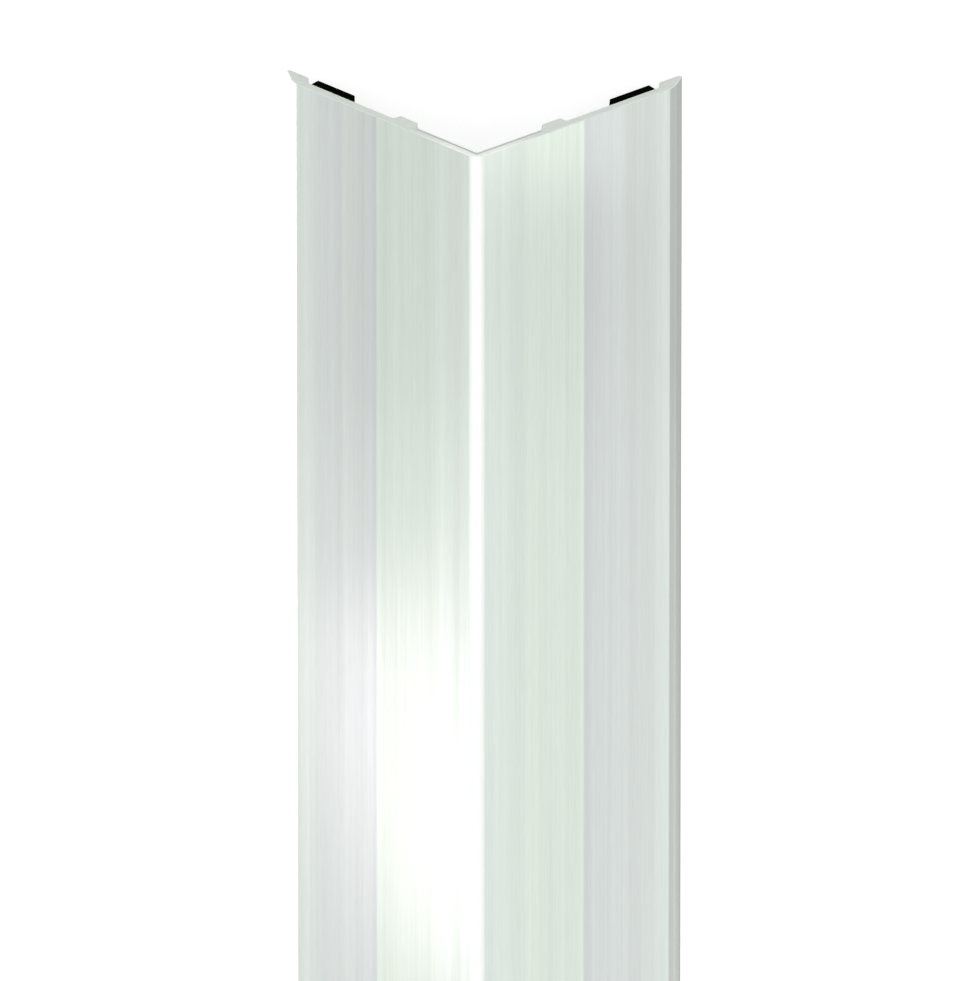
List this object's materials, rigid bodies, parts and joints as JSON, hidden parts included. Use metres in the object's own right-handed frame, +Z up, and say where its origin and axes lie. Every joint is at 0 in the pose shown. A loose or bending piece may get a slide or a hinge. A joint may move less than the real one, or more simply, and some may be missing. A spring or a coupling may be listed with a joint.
{
  "type": "corner guard moulding",
  "caption": "Extruded aluminium angle with a rounded nosing, feathered edges and inner ribs, and a foam adhesive strip inside each leg, that protects an outside wall corner.",
  "frame": {"origin": "on the floor, under the middle of the nosing, halfway along the length", "axes": "+Y along the length, towards the end that the picture shows; +Z up through the nosing; X from leg to leg"},
  "size_m": [0.0668, 1.2, 0.0368],
  "materials": {
    "anodised_aluminium": "satin anodised, with fine lengthwise extrusion lines",
    "foam_tape": "matt black closed-cell foam tape"
  },
  "bodies": {
    "root": {"profile": "anodised_aluminium", "adhesive_strip_right": "foam_tape", "adhesive_strip_left": "foam_tape"}
  },
  "joints": []
}
